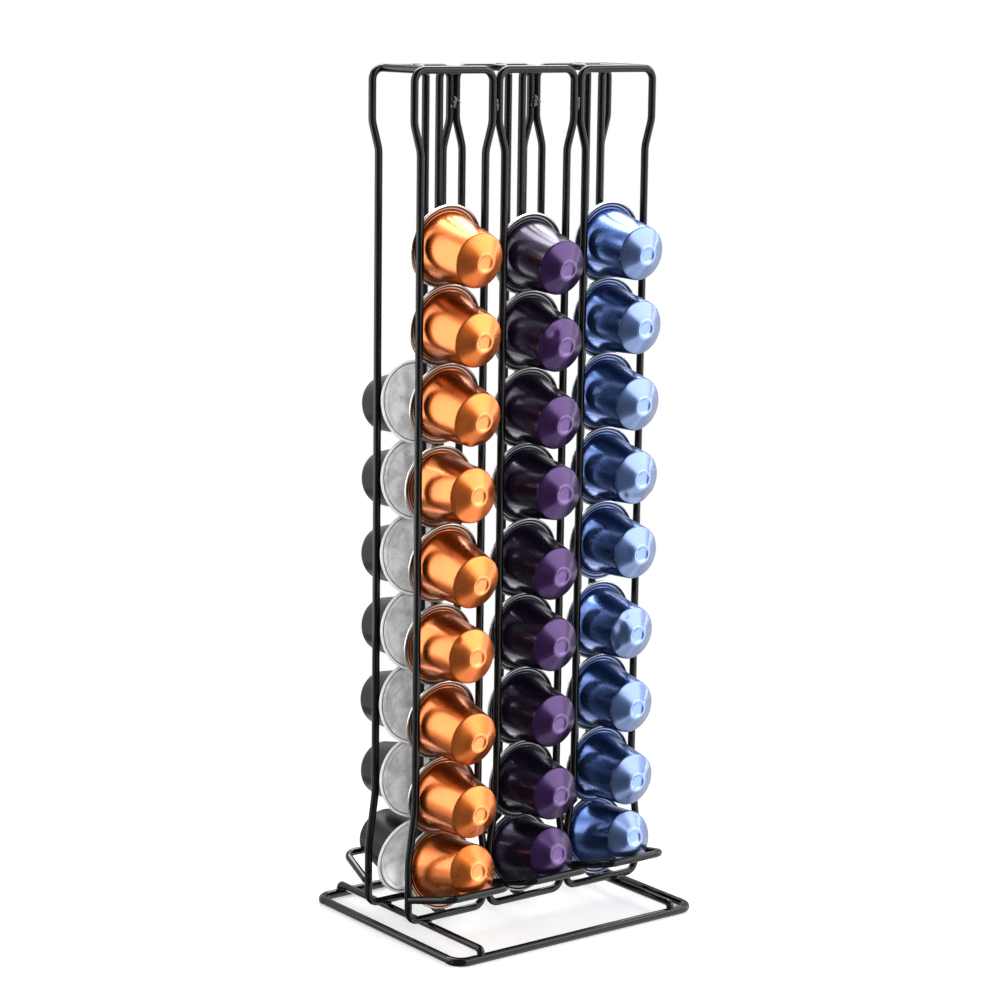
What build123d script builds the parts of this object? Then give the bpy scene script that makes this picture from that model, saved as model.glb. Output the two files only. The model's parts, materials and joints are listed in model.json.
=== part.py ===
"""Free-standing wire rack for coffee pods: two banks of three columns, back to back.

Millimetres. X runs along the rack, the front bank looks along -Y, Z is up, and the
origin is on the table at the middle of the base.
"""

import os
from math import atan, cos, hypot, radians, sin, sqrt

from build123d import *

# Coffee pod
body_d = 30.2
body_draft = 3.0
shoulder_h = 24.6
cap_h = 4.6
nose_d = 9.5
nose_lip = 1.45
dimple_depth = 0.8
flange_w = 3.4
rim_d = 1.4
web_t = 0.6
cup_wall = 0.5
lid_t = 0.25
lid_margin = 0.15
charge_gap = 0.15
root_fillet = 0.5
shoulder_fillet = 1.2
nose_fillet = 0.4

# Wires
wire_d = 3.4
base_wire_d = 4.0
weld_gap = 0.1

# Columns
mouth_clear = 0.3
grip_clear = 0.25
lean_clear = 0.3
seat_gap = 0.3
stack_gap = 0.6
max_tilt = 10.5
usual_tilt = 9.0
column_capacity = 10
head_room = 32.5
back_wire_y = 5.0
back_wire_bend_r = 4.0

# Outline of a column's loop
corner_r = 5.0
neck_h = 22.5
neck_taper_h = 12.0
neck_bend_r = 15.0
flare_h = 27.0
flare_taper_h = 24.0
flare_bend_r = 40.0

# Trays
tray_clear = 0.4
tray_rise_angle = 13.0
tray_front_w = 31.0
tray_corner_r = 6.0

# Base and cross bars
base_side_margin = 1.6
base_reach = 39.0
base_corner_r = 6.5
bar_inset = 11.1
elbow_inner_r = 0.2
elbow_leg = 0.1

# Pods at rest: nose-down tilt in degrees, and how far each leans from its back wire (0) to
# the front loop (1), from the second pod of the column upwards
orange_poses = ((5, 0.9), (9, 0), (1, 0), (10.5, 0), (0, 0), (10, 0), (9.5, 0), (10, 0))
purple_poses = ((3, 0.9), (5, 0.4), (3, 0.5), (8, 0), (2, 0.6), (9, 0), (9, 0), (10, 0))
blue_poses = ((4.5, 0.9), (4.5, 0.5), (4, 0.2), (4, 0.7), (4, 0.5), (6, 0.4), (5, 0.5), (8, 0.4))
black_poses = ((4, 0.3), (7, 0.4), (6, 0.2), (9, 0), (8, 0.2), (9, 0))

# Derived pod sizes
body_r = body_d / 2
flange_r = body_r + flange_w
flange_d = 2 * flange_r
rim_r = rim_d / 2
bead_r = flange_r - rim_r
shoulder_r = body_r - body_draft
nose_r = nose_d / 2
pod_h = shoulder_h + cap_h
taper = body_draft / shoulder_h
taper_angle = atan(taper)
cone_slope = (shoulder_r - nose_r) / cap_h
dimple_z = pod_h - dimple_depth

# Derived rack sizes
wire_r = wire_d / 2
mouth_w = flange_d + 2 * mouth_clear + wire_d
grip_w = body_d + 2 * grip_clear + wire_d
column_pitch = mouth_w + wire_d + weld_gap
elbow_r = wire_r + elbow_inner_r
bar_z = base_wire_d + weld_gap + elbow_leg + elbow_r
bottom_z = bar_z + wire_d + weld_gap


def back_seat(tilt):
    """Outward distance of a pod's rim centre where the rim leans on its back wire."""
    return back_wire_y + wire_r + lean_clear + rim_r + bead_r * sin(radians(abs(tilt)))


rim_chord = sqrt(flange_r**2 - (grip_w / 2 - wire_r) ** 2)
front_gap = wire_r + rim_r + lean_clear
loop_y = back_seat(max_tilt) + rim_chord * sin(radians(max_tilt)) + front_gap


def front_seat(tilt):
    """Outward distance of a pod's rim centre where the rim leans on its front loop."""
    return loop_y - front_gap - rim_chord * sin(radians(abs(tilt)))


def rise(lower_y, lower_tilt, upper_y, upper_tilt):
    """Height of one pod's rim centre above that of the pod that carries it."""
    low = radians(lower_tilt)
    up = radians(upper_tilt)
    rim_gap = rim_d + stack_gap
    top_rim = lower_y + bead_r * sin(low)
    bottom_rim = upper_y - bead_r * sin(up)
    if top_rim - bottom_rim >= rim_gap:
        # The lower rim stands under the upper pod's body
        along = (top_rim - upper_y + body_r * sin(up)) / (cos(up) + taper * sin(up))
        under = along * sin(up) + (body_r - taper * along) * cos(up)
        return bead_r * cos(low) + (rim_r + stack_gap) / cos(up - taper_angle) + under
    if bottom_rim - top_rim >= rim_gap:
        # The upper rim stands on the lower pod's body
        along = (bottom_rim - lower_y - body_r * sin(low)) / (cos(low) - taper * sin(low))
        over = (body_r - taper * along) * cos(low) - along * sin(low)
        return bead_r * cos(up) + (rim_r + stack_gap) / cos(low + taper_angle) + over
    return bead_r * (cos(low) + cos(up)) + rim_gap


usual_y = back_seat(usual_tilt)
pod_pitch = rise(usual_y, usual_tilt, usual_y, usual_tilt)
top_z = bottom_z + column_capacity * pod_pitch + head_room
lowest_y = back_seat(max_tilt)
lowest_z = bottom_z + wire_r + seat_gap + rim_r + bead_r * cos(radians(max_tilt))


def pod_stack(poses):
    """Outward distance, height and tilt of each pod of a column, from the lowest up."""
    places = [(lowest_y, lowest_z, -max_tilt)]
    for tilt, lean in poses:
        y, z, below = places[-1]
        seat = back_seat(tilt) + lean * (front_seat(tilt) - back_seat(tilt))
        places.append((seat, z + rise(y, below, seat, tilt), tilt))
    return places


# The banks' outward directions and the columns' places along the rack
banks = {"front": -1, "back": 1}
column_x = {"left": -column_pitch, "middle": 0, "right": column_pitch}


def side_plane(x, outward):
    """Plane across the rack at x: its own x runs outwards and its y upwards."""
    return Plane(origin=(x, 0, 0), x_dir=(0, outward, 0), z_dir=(outward, 0, 0))


def end_plane(path):
    """Plane square to the start of a wire's path."""
    return Plane(origin=path @ 0, z_dir=path % 0)


os.makedirs("parts", exist_ok=True)


def save(piece, name):
    """Label a finished piece and write it as one STEP file."""
    piece.label = name
    export_step(piece, f"parts/{name}.step")


# Base: one closed ring of thicker wire that lies on the table
outer_x = column_pitch + mouth_w / 2
base_half_x = outer_x + base_side_margin
base_half_y = loop_y + base_reach

with BuildPart() as base_half:
    with BuildLine(Plane.XY.offset(base_wire_d / 2)) as base_path:
        FilletPolyline(
            (0, -base_half_y),
            (base_half_x, -base_half_y),
            (base_half_x, base_half_y),
            (0, base_half_y),
            radius=base_corner_r,
        )
    with BuildSketch(end_plane(base_path.line)):
        Circle(base_wire_d / 2)
    sweep()
    mirror(about=Plane.YZ)
save(base_half.part, "base_loop")

# Cross bars: they carry the outer columns and bend down onto the base at both ends
bar_x = outer_x - bar_inset
bar_end_z = base_wire_d + weld_gap

for name, x in (("left", -bar_x), ("right", bar_x)):
    with BuildPart() as cross_bar:
        with BuildLine(side_plane(x, 1)) as bar_path:
            FilletPolyline(
                (-base_half_y, bar_end_z),
                (-base_half_y, bar_z),
                (base_half_y, bar_z),
                (base_half_y, bar_end_z),
                radius=elbow_r,
            )
        with BuildSketch(end_plane(bar_path.line)):
            Circle(wire_r)
        sweep()
    save(cross_bar.part, f"cross_bar_{name}")

# Column loops: wide at the neck and the flare, where a rim passes, and narrow between
neck_z = top_z - neck_h
flare_z = bottom_z + flare_h

for bank, outward in banks.items():
    for column, x in column_x.items():
        with BuildPart() as loop:
            front = Plane(origin=(x, outward * loop_y, 0), x_dir=(1, 0, 0), z_dir=(0, -1, 0))
            with BuildLine(front) as loop_path:
                FilletPolyline(
                    (0, bottom_z),
                    (mouth_w / 2, bottom_z),
                    (mouth_w / 2, flare_z),
                    (grip_w / 2, flare_z + flare_taper_h),
                    (grip_w / 2, neck_z - neck_taper_h),
                    (mouth_w / 2, neck_z),
                    (mouth_w / 2, top_z),
                    (0, top_z),
                    radius=[
                        corner_r,
                        flare_bend_r,
                        flare_bend_r,
                        neck_bend_r,
                        neck_bend_r,
                        corner_r,
                    ],
                )
            with BuildSketch(end_plane(loop_path.line)):
                Circle(wire_r)
            sweep()
            mirror(about=Plane.YZ.offset(x))
        save(loop.part, f"loop_{bank}_{column}")

# Back wires: one behind each column, its ends bent outwards to the loop's two runs
wire_end_y = loop_y - wire_r - weld_gap

for bank, outward in banks.items():
    for column, x in column_x.items():
        with BuildPart() as back_wire:
            with BuildLine(side_plane(x, outward)) as wire_path:
                FilletPolyline(
                    (wire_end_y, bottom_z),
                    (back_wire_y, bottom_z),
                    (back_wire_y, top_z),
                    (wire_end_y, top_z),
                    radius=back_wire_bend_r,
                )
            with BuildSketch(end_plane(wire_path.line)):
                Circle(wire_r)
            sweep()
        save(back_wire.part, f"back_wire_{bank}_{column}")

# Trays: a rounded hoop below the lowest pod's nose, rising outwards from the loop's uprights
up = radians(max_tilt)
cone_mid_h = shoulder_h + cap_h / 2
cone_mid_r = (shoulder_r + nose_r) / 2
cone_side = hypot(shoulder_r - nose_r, cap_h)
cone_along = (shoulder_r - nose_r) / cone_side
cone_across = cap_h / cone_side
rail_h = cone_mid_h + cone_along * (wire_r + tray_clear)
rail_r = cone_mid_r + cone_across * (wire_r + tray_clear)
rail_y = lowest_y + rail_h * cos(up) + rail_r * sin(up)
rail_z = lowest_z + rail_h * sin(up) - rail_r * cos(up)
tray_angle = radians(tray_rise_angle)
tray_root_y = loop_y + wire_r * (1 + sin(tray_angle)) + weld_gap
tray_root_z = rail_z - (rail_y - tray_root_y) * sin(tray_angle) / cos(tray_angle)
tray_reach = (rail_y - tray_root_y) / cos(tray_angle)

for bank, outward in banks.items():
    for column, x in column_x.items():
        with BuildPart() as tray:
            slope = Plane(
                origin=(x, outward * tray_root_y, tray_root_z),
                x_dir=(1, 0, 0),
                z_dir=(0, -sin(tray_angle), outward * cos(tray_angle)),
            )
            with BuildLine(slope) as tray_path:
                FilletPolyline(
                    (-mouth_w / 2, 0),
                    (-tray_front_w / 2, tray_reach),
                    (tray_front_w / 2, tray_reach),
                    (mouth_w / 2, 0),
                    radius=tray_corner_r,
                )
            with BuildSketch(end_plane(tray_path.line)):
                Circle(wire_r)
            sweep()
        save(tray.part, f"tray_{bank}_{column}")

# Top ties: short rods that join the two banks at both ends of the rack
tie_x = outer_x - corner_r
tie_length = 2 * wire_end_y

for name, x in (("left", -tie_x), ("right", tie_x)):
    with BuildPart() as top_tie:
        with BuildSketch(Plane(origin=(x, 0, top_z), z_dir=(0, 1, 0))):
            Circle(wire_r)
        extrude(amount=tie_length / 2, both=True)
    save(top_tie.part, f"top_tie_{name}")


def cavity(depth):
    """Outline of the space that lies a depth inside a cup's outer skin, from its roof down."""
    roof_z = dimple_z - depth
    cone_z = pod_h - depth * hypot(1, cone_slope) / cone_slope
    side_r = body_r - depth / cos(taper_angle)
    roof_r = nose_r + (cone_z - roof_z) * cone_slope
    bend_z = (nose_r + cone_z * cone_slope - side_r) / (cone_slope - taper)
    return (
        (0, roof_z),
        (roof_r, roof_z),
        (side_r - taper * bend_z, bend_z),
        (side_r, 0),
    )


# One pod about its own axis, nose up, with the middle of its rim at the origin
with BuildPart() as cup:
    with BuildSketch(Plane.XZ):
        with BuildLine():
            FilletPolyline(
                (bead_r, web_t / 2),
                (body_r, web_t / 2),
                (shoulder_r, shoulder_h),
                (nose_r, pod_h),
                (nose_r - nose_lip, dimple_z),
                (0, dimple_z),
                radius=[root_fillet, shoulder_fillet, nose_fillet, nose_fillet],
            )
            Polyline(
                (0, dimple_z),
                *cavity(cup_wall),
                (cavity(cup_wall)[-1][0], -web_t / 2),
                (bead_r, -web_t / 2),
                (bead_r, web_t / 2),
            )
        make_face()
        with Locations((bead_r, 0)):
            Circle(rim_r)
    revolve(axis=Axis.Z)

with BuildPart() as lid:
    with BuildSketch(Plane.XY.offset(-web_t / 2)):
        Circle(flange_r - rim_d - lid_margin)
    extrude(amount=-lid_t)

with BuildPart() as coffee:
    with BuildSketch(Plane.XZ):
        with BuildLine():
            charge = cavity(cup_wall + charge_gap)
            Polyline(*charge, (0, charge[-1][1]), close=True)
        make_face()
    revolve(axis=Axis.Z)

# Loaded columns: the top pod of each is a piece of its own, the rest of its stack another
loads = {
    "orange": ("front", "left", orange_poses),
    "purple": ("front", "middle", purple_poses),
    "blue": ("front", "right", blue_poses),
    "black": ("back", "left", black_poses),
}

for colour, (bank, column, poses) in loads.items():
    places = []
    for y, z, tilt in pod_stack(poses):
        nose = (0, banks[bank] * cos(radians(tilt)), -sin(radians(tilt)))
        rim_centre = (column_x[column], banks[bank] * y, z)
        places.append(Plane(origin=rim_centre, x_dir=(1, 0, 0), z_dir=nose).location)
    pieces = {"cup": (cup, "cups"), "lid": (lid, "lids"), "coffee": (coffee, "coffee")}
    for single, (piece, several) in pieces.items():
        with BuildPart() as stack:
            with Locations(*places[:-1]):
                add(piece.part)
        save(stack.part, f"{colour}_stack_{several}")
        with BuildPart() as top_piece:
            with Locations(places[-1]):
                add(piece.part)
        save(top_piece.part, f"{colour}_top_{single}")
    print(f"{colour} column's top rim centre is {places[-1].position.Z:.1f} mm up")
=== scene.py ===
"""Coffee pod rack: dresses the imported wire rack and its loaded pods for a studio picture.

Metres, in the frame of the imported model: X runs along the rack, the front bank looks
along -Y, and Z is up from the table.
"""

import json
import logging
import math
from collections.abc import Sequence
from dataclasses import dataclass, field
from enum import Enum
from typing import Any

import bmesh
import bpy
import numpy as np
from mathutils import Matrix, Vector

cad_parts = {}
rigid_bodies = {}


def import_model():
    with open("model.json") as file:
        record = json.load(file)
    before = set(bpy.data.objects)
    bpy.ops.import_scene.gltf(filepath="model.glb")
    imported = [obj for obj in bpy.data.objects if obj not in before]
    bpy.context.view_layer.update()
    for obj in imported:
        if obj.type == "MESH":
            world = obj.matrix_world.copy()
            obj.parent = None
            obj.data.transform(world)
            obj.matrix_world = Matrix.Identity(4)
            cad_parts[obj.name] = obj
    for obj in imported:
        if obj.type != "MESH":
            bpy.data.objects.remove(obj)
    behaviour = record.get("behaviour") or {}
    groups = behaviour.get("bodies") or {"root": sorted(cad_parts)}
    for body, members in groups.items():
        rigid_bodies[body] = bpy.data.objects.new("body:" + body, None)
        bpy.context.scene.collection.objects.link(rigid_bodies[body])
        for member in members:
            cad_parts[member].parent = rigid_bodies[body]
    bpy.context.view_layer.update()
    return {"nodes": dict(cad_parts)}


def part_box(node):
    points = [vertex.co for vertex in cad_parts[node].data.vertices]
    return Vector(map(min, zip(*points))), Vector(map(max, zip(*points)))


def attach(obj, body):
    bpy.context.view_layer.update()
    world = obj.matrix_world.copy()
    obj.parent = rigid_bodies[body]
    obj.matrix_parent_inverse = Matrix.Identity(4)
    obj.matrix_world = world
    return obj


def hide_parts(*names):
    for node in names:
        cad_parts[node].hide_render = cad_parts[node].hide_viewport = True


log = logging.getLogger("pod_rack")

Pair = tuple[float, float]
Point = tuple[float, float, float]
Colour = tuple[float, float, float]
Path = Sequence[tuple[Point, float]]
MM = 0.001
NODE_STEP = 220


class PodColour(Enum):
    """The four kinds of pod in the rack, by the name that their nodes start with."""

    ORANGE = "orange"
    PURPLE = "purple"
    BLUE = "blue"
    BLACK = "black"


class Bank(Enum):
    """The rack's two sides, each with the direction it looks in along Y."""

    FRONT = -1
    BACK = 1


class Column(Enum):
    """The three columns of a bank."""

    LEFT = "left"
    MIDDLE = "middle"
    RIGHT = "right"


class PodShape(Enum):
    """How a pod has come through handling."""

    SOUND = 0
    DENTED = 1
    CREASED = 2


class TreeKind(Enum):
    """The two kinds of node group."""

    SHADER = "ShaderNodeTree"
    GEOMETRY = "GeometryNodeTree"


class NodeLayout:
    """Places nodes in one tree and feeds their sockets."""

    def __init__(self, tree: bpy.types.NodeTree) -> None:
        """Keep the tree that the nodes go into."""
        self.tree = tree

    def put(
        self, kind: str, inputs: dict[str | int, Any] | None = None, **settings: Any
    ) -> bpy.types.Node:
        """Add one node.

        Args:
            kind: Blender's name of the node type.
            inputs: Values, nodes or sockets for its inputs, by name or place.
            settings: The node's own settings.

        Returns:
            The new node.
        """
        node = self.tree.nodes.new(kind)
        node.location = (NODE_STEP * len(self.tree.nodes), 0)
        for name, value in settings.items():
            setattr(node, name, value)
        for key, value in (inputs or {}).items():
            self.feed(node.inputs[key], value)
        return node

    def feed(self, socket: bpy.types.NodeSocket, value: Any) -> None:
        """Link a socket to a node or socket, or set its value.

        Args:
            socket: The input to feed.
            value: A node (its first output is taken), an output socket or a plain value.
        """
        if isinstance(value, bpy.types.Node):
            value = value.outputs[0]
        if isinstance(value, bpy.types.NodeSocket):
            self.tree.links.new(value, socket)
        elif socket.type == "RGBA":
            socket.default_value = (*value, 1.0)
        else:
            socket.default_value = value

    def work(self, operation: str, *terms: Any, **settings: Any) -> bpy.types.Node:
        """Add a node that works out one number from its terms."""
        return self.put("ShaderNodeMath", dict(enumerate(terms)), operation=operation, **settings)

    def remap(
        self, value: Any, low: float, high: float, start: float = 0.0, end: float = 1.0
    ) -> bpy.types.Node:
        """Add a node that maps one range of values to another and stops at its ends.

        Args:
            value: The value to map.
            low: What start becomes.
            high: What end becomes.
            start: One end of the range.
            end: Its other end.

        Returns:
            The new node.
        """
        ends = {"From Min": start, "From Max": end, "To Min": low, "To Max": high}
        return self.put("ShaderNodeMapRange", {"Value": value, **ends})

    def mix(
        self, factor: Any, first: Any, second: Any, blend: str = "MIX"
    ) -> bpy.types.NodeSocket:
        """Mix two colours.

        Args:
            factor: The share of the second.
            first: A colour, or a socket that gives one.
            second: Another.
            blend: Blender's name of the way they mix.

        Returns:
            The socket with the mixed colour.
        """
        colours = {"Factor": factor, 6: first, 7: second}
        return self.put("ShaderNodeMix", colours, data_type="RGBA", blend_type=blend).outputs[2]


def group_layout(
    name: str, kind: TreeKind, inputs: dict[str, str], outputs: dict[str, str]
) -> tuple[NodeLayout, bpy.types.NodeOutputs]:
    """Make an empty node group with named sockets.

    Args:
        name: The group's name.
        kind: Which kind of group it is.
        inputs: Type of each input, by name.
        outputs: Type of each output, by name.

    Returns:
        The group's layout and the sockets that give its inputs.
    """
    tree = bpy.data.node_groups.new(name, kind.value)
    for sockets, side in ((inputs, "INPUT"), (outputs, "OUTPUT")):
        for label, socket in sockets.items():
            tree.interface.new_socket(label, in_out=side, socket_type=f"NodeSocket{socket}")
    lay = NodeLayout(tree)
    return lay, lay.put("NodeGroupInput").outputs


def fresh_layout(owner: bpy.types.Material | bpy.types.World) -> NodeLayout:
    """Switch a material or world to nodes and empty it.

    Args:
        owner: The material or world.

    Returns:
        Its layout.
    """
    owner.use_nodes = True
    owner.node_tree.nodes.clear()
    return NodeLayout(owner.node_tree)


def shown_rays(lay: NodeLayout) -> bpy.types.Node:
    """Tell the rays that see the white studio: straight, mirrored and refracted ones.

    Args:
        lay: The layout of a studio material or the world.

    Returns:
        A node that is 1 for such a ray and 0 for any other.
    """
    path = lay.put("ShaderNodeLightPath").outputs
    seen = lay.work("ADD", path["Is Camera Ray"], path["Is Glossy Ray"])
    return lay.work("ADD", seen, path["Is Transmission Ray"], use_clamp=True)


def add_object(name: str, mesh: bpy.types.Mesh) -> bpy.types.Object:
    """Put a mesh into the scene at the origin.

    Args:
        name: The object's name.
        mesh: Its mesh, with the place in its points.

    Returns:
        The new object.
    """
    obj = bpy.data.objects.new(name, mesh)
    bpy.context.scene.collection.objects.link(obj)
    return obj


def mark_points(mesh: bpy.types.Mesh, name: str, kind: str, values: Sequence[float]) -> None:
    """Give a mesh's points an attribute, with its values one after the other."""
    entry = "vector" if kind == "FLOAT_VECTOR" else "value"
    mesh.attributes.new(name, kind, "POINT").data.foreach_set(entry, values)


def run_tree(
    obj: bpy.types.Object, tree: bpy.types.NodeTree, values: dict[str, Any]
) -> None:
    """Turn an object into the plain mesh that a geometry tree makes of it.

    Args:
        obj: The object whose mesh goes into the tree.
        tree: The geometry tree.
        values: The tree's inputs by name.
    """
    modifier = obj.modifiers.new(tree.name, "NODES")
    modifier.node_group = tree
    for item in tree.interface.items_tree:
        if item.in_out == "INPUT" and item.name in values:
            modifier[item.identifier] = values[item.name]
    graph = bpy.context.evaluated_depsgraph_get()
    made = bpy.data.meshes.new_from_object(
        obj.evaluated_get(graph), preserve_all_data_layers=True, depsgraph=graph
    )
    obj.modifiers.remove(modifier)
    source = obj.data
    obj.data = made
    bpy.data.meshes.remove(source)
    made.name = obj.name


class GeometryTrees:
    """The geometry trees that make the wires, the weld beads and the rows of pods."""

    bead_detail: int = 3
    bead_spread: tuple[Point, Point] = ((0.9, 0.9, 0.85), (1.06, 1.06, 1.15))

    def __init__(self) -> None:
        """Build each tree once."""
        self.wire = self.coated_wire()
        self.beads = self.weld_beads()
        self.rows = self.pod_rows()

    def start(
        self, name: str, sizes: dict[str, str]
    ) -> tuple[NodeLayout, bpy.types.NodeOutputs]:
        """Make an empty tree that takes geometry, its sizes and a finish.

        Args:
            name: The tree's name.
            sizes: Type of each further input, by name.

        Returns:
            The tree's layout and the sockets that give its inputs.
        """
        inputs = {"Geometry": "Geometry", **sizes, "Finish": "Material"}
        return group_layout(name, TreeKind.GEOMETRY, inputs, {"Geometry": "Geometry"})

    def close(
        self, lay: NodeLayout, made: bpy.types.Node, finish: bpy.types.NodeSocket
    ) -> bpy.types.NodeTree:
        """End a tree in real, dressed geometry.

        Args:
            lay: The tree's layout.
            made: The node that gives the shape.
            finish: The socket that gives the finish.

        Returns:
            The finished tree.
        """
        real = lay.put("GeometryNodeRealizeInstances", {0: made})
        dressed = lay.put("GeometryNodeSetMaterial", {"Geometry": real, "Material": finish})
        lay.put("NodeGroupOutput", {"Geometry": dressed})
        return lay.tree

    def read(self, lay: NodeLayout, name: str, kind: str) -> bpy.types.Node:
        """Add a node that reads an attribute of the points."""
        return lay.put("GeometryNodeInputNamedAttribute", {"Name": name}, data_type=kind)

    def coated_wire(self) -> bpy.types.NodeTree:
        """Tree that bends a path's corners and draws a round wire along it.

        Returns:
            The tree, which reads each corner's bend radius from the attribute bend.
        """
        sizes = {"Wire Radius": "Float", "Sides": "Int", "Bend Steps": "Int"}
        lay, given = self.start("coated_wire", sizes)
        bend = self.read(lay, "bend", "FLOAT")
        path = lay.put("GeometryNodeMeshToCurve", {"Mesh": given["Geometry"]})
        bent = lay.put(
            "GeometryNodeFilletCurve",
            {"Curve": path, "Count": given["Bend Steps"], "Radius": bend},
            mode="POLY",
        )
        section = lay.put(
            "GeometryNodeCurvePrimitiveCircle",
            {"Resolution": given["Sides"], "Radius": given["Wire Radius"]},
        )
        tube = lay.put(
            "GeometryNodeCurveToMesh",
            {"Curve": bent, "Profile Curve": section, "Fill Caps": True},
        )
        smooth = lay.put("GeometryNodeSetShadeSmooth", {0: tube})
        return self.close(lay, smooth, given["Finish"])

    def weld_beads(self) -> bpy.types.NodeTree:
        """Tree that sets a lumpy bead on each point.

        Returns:
            The tree, which reads each bead's half sizes from the attribute span.
        """
        sizes = {"Lump Height": "Float", "Lump Scale": "Float", "Seed": "Int"}
        lay, given = self.start("weld_beads", sizes)
        span = self.read(lay, "span", "FLOAT_VECTOR")
        ball = {"Radius": 1.0, "Subdivisions": self.bead_detail}
        bead = lay.put("GeometryNodeMeshIcoSphere", ball)
        smallest, largest = self.bead_spread
        spread = lay.put(
            "FunctionNodeRandomValue",
            {0: smallest, 1: largest, "Seed": given["Seed"]},
            data_type="FLOAT_VECTOR",
        )
        size = lay.put("ShaderNodeVectorMath", {0: span, 1: spread}, operation="MULTIPLY")
        placed = lay.put(
            "GeometryNodeInstanceOnPoints",
            {"Points": given["Geometry"], "Instance": bead, "Scale": size},
        )
        whole = lay.put("GeometryNodeRealizeInstances", {0: placed})
        lump = lay.put("ShaderNodeTexNoise", {"Scale": given["Lump Scale"], "Detail": 1.0})
        height = lay.work("MULTIPLY", lay.work("SUBTRACT", lump, 0.5), given["Lump Height"])
        push = lay.put(
            "ShaderNodeVectorMath",
            {0: lay.put("GeometryNodeInputNormal"), "Scale": height},
            operation="SCALE",
        )
        lumpy = lay.put("GeometryNodeSetPosition", {"Geometry": whole, "Offset": push})
        smooth = lay.put("GeometryNodeSetShadeSmooth", {0: lumpy})
        return self.close(lay, smooth, given["Finish"])

    def pod_rows(self) -> bpy.types.NodeTree:
        """Tree that sets one of several shapes on each point.

        Returns:
            The tree, which reads the turn and the shape from the attributes nose_turn and shape.
        """
        lay, given = self.start("pod_rows", {"Shapes": "Collection"})
        turn = self.read(lay, "nose_turn", "FLOAT_VECTOR")
        pick = self.read(lay, "shape", "INT")
        shapes = lay.put(
            "GeometryNodeCollectionInfo",
            {"Collection": given["Shapes"], "Separate Children": True, "Reset Children": True},
        )
        placed = lay.put(
            "GeometryNodeInstanceOnPoints",
            {
                "Points": given["Geometry"],
                "Instance": shapes,
                "Pick Instance": True,
                "Instance Index": pick,
                "Rotation": lay.put("FunctionNodeEulerToRotation", {0: turn}),
            },
        )
        return self.close(lay, placed, given["Finish"])


class SurfaceGroups:
    """Shader groups for effects that several finishes share."""

    coarse_scale: float = 0.17
    grain_span: Pair = (0.3, 0.7)
    smudge_span: Pair = (0.42, 0.68)
    scuff_span: Pair = (0.16, 0.05)

    def __init__(self) -> None:
        """Build each group once."""
        self.grain = self.fine_grain()
        self.marks = self.handling_marks()

    def fine_grain(self) -> bpy.types.NodeTree:
        """Group for the fine speckle of a coated or rolled surface.

        Returns:
            The group, with the outputs Grain (0 to 1) and Height.
        """
        lay, given = group_layout(
            "fine_grain",
            TreeKind.SHADER,
            {"Vector": "Vector", "Scale": "Float", "Coarse Share": "Float"},
            {"Grain": "Float", "Height": "Float"},
        )
        place, scale = given["Vector"], given["Scale"]
        wide = lay.work("MULTIPLY", scale, self.coarse_scale)
        fine = lay.put("ShaderNodeTexNoise", {"Vector": place, "Scale": scale, "Detail": 3.0})
        coarse = lay.put("ShaderNodeTexNoise", {"Vector": place, "Scale": wide, "Detail": 1.0})
        both = lay.put("ShaderNodeMix", {"Factor": given["Coarse Share"], 2: fine, 3: coarse})
        grain = lay.remap(both, 0.0, 1.0, *self.grain_span)
        lay.put("NodeGroupOutput", {"Grain": grain, "Height": both})
        return lay.tree

    def handling_marks(self) -> bpy.types.NodeTree:
        """Group for smudges and rubbed patches left by hands.

        Returns:
            The group, with the outputs Smudge and Scuff, both masks from 0 to 1.
        """
        lay, given = group_layout(
            "handling_marks",
            TreeKind.SHADER,
            {"Vector": "Vector", "Smudge Scale": "Float", "Scuff Scale": "Float"},
            {"Smudge": "Float", "Scuff": "Float"},
        )
        place = {"Vector": given["Vector"]}
        patch = lay.put(
            "ShaderNodeTexNoise",
            {**place, "Scale": given["Smudge Scale"], "Detail": 4.0, "Distortion": 0.6},
        )
        speck = lay.put(
            "ShaderNodeTexVoronoi", {**place, "Scale": given["Scuff Scale"], "Randomness": 1.0}
        )
        smudge = lay.remap(patch, 0.0, 1.0, *self.smudge_span)
        scuff = lay.remap(speck, 0.0, 1.0, *self.scuff_span)
        lay.put("NodeGroupOutput", {"Smudge": smudge, "Scuff": scuff})
        return lay.tree


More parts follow.
